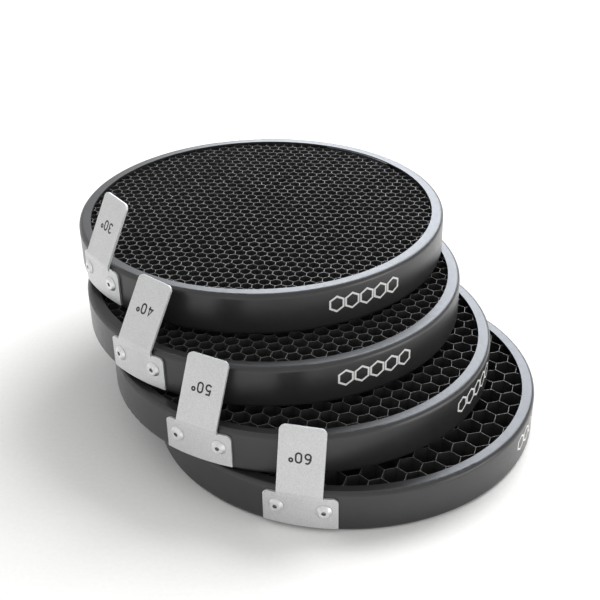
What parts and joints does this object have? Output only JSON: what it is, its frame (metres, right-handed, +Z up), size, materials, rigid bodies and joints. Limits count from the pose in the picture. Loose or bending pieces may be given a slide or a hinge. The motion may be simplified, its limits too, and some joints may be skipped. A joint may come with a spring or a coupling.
{
  "type": "honeycomb grid set",
  "caption": "Fanned stack of round honeycomb grids for a studio reflector or snoot: channel rings, hexagonal cores and riveted tabs marked with the beam angle.",
  "frame": {"origin": "centre of the whole stack's footprint, on the surface that the lowest grid rests on", "axes": "+Z up through the stack; the tabs face -Y and -X; +X to the right of someone who faces the tabs"},
  "size_m": [0.2068, 0.2276, 0.1015],
  "materials": {
    "ring_paint": "satin charcoal baked paint on rolled aluminium strip",
    "honeycomb_foil": "matt black coated foil with bare cut edges",
    "tab_aluminium": "fine-grained natural aluminium sheet",
    "rivet_aluminium": "bright aluminium",
    "mandrel_steel": "dull steel, snapped end"
  },
  "bodies": {
    "grid_60": {"ring_60": "ring_paint", "honeycomb_60": "honeycomb_foil", "tab_60": "tab_aluminium", "tab_rivets_60": "rivet_aluminium", "seam_rivet_60": "rivet_aluminium", "rivet_mandrels_60": "mandrel_steel"},
    "grid_50": {"ring_50": "ring_paint", "honeycomb_50": "honeycomb_foil", "tab_50": "tab_aluminium", "tab_rivets_50": "rivet_aluminium", "seam_rivet_50": "rivet_aluminium", "rivet_mandrels_50": "mandrel_steel"},
    "grid_40": {"ring_40": "ring_paint", "honeycomb_40": "honeycomb_foil", "tab_40": "tab_aluminium", "tab_rivets_40": "rivet_aluminium", "seam_rivet_40": "rivet_aluminium", "rivet_mandrels_40": "mandrel_steel"},
    "grid_30": {"ring_30": "ring_paint", "honeycomb_30": "honeycomb_foil", "tab_30": "tab_aluminium", "tab_rivets_30": "rivet_aluminium", "seam_rivet_30": "rivet_aluminium", "rivet_mandrels_30": "mandrel_steel"}
  },
  "joints": [
    {"name": "lift_grid_50", "type": "slide", "parent": "grid_60", "child": "grid_50", "axis": [0.1243, 0.4843, 0.866], "range_m": [0, 0.06]},
    {"name": "lift_grid_40", "type": "slide", "parent": "grid_50", "child": "grid_40", "axis": [0.2485, 0.4339, 0.866], "range_m": [0, 0.06]},
    {"name": "lift_grid_30", "type": "slide", "parent": "grid_40", "child": "grid_30", "axis": [0.33, 0.3756, 0.866], "range_m": [0, 0.06]}
  ]
}
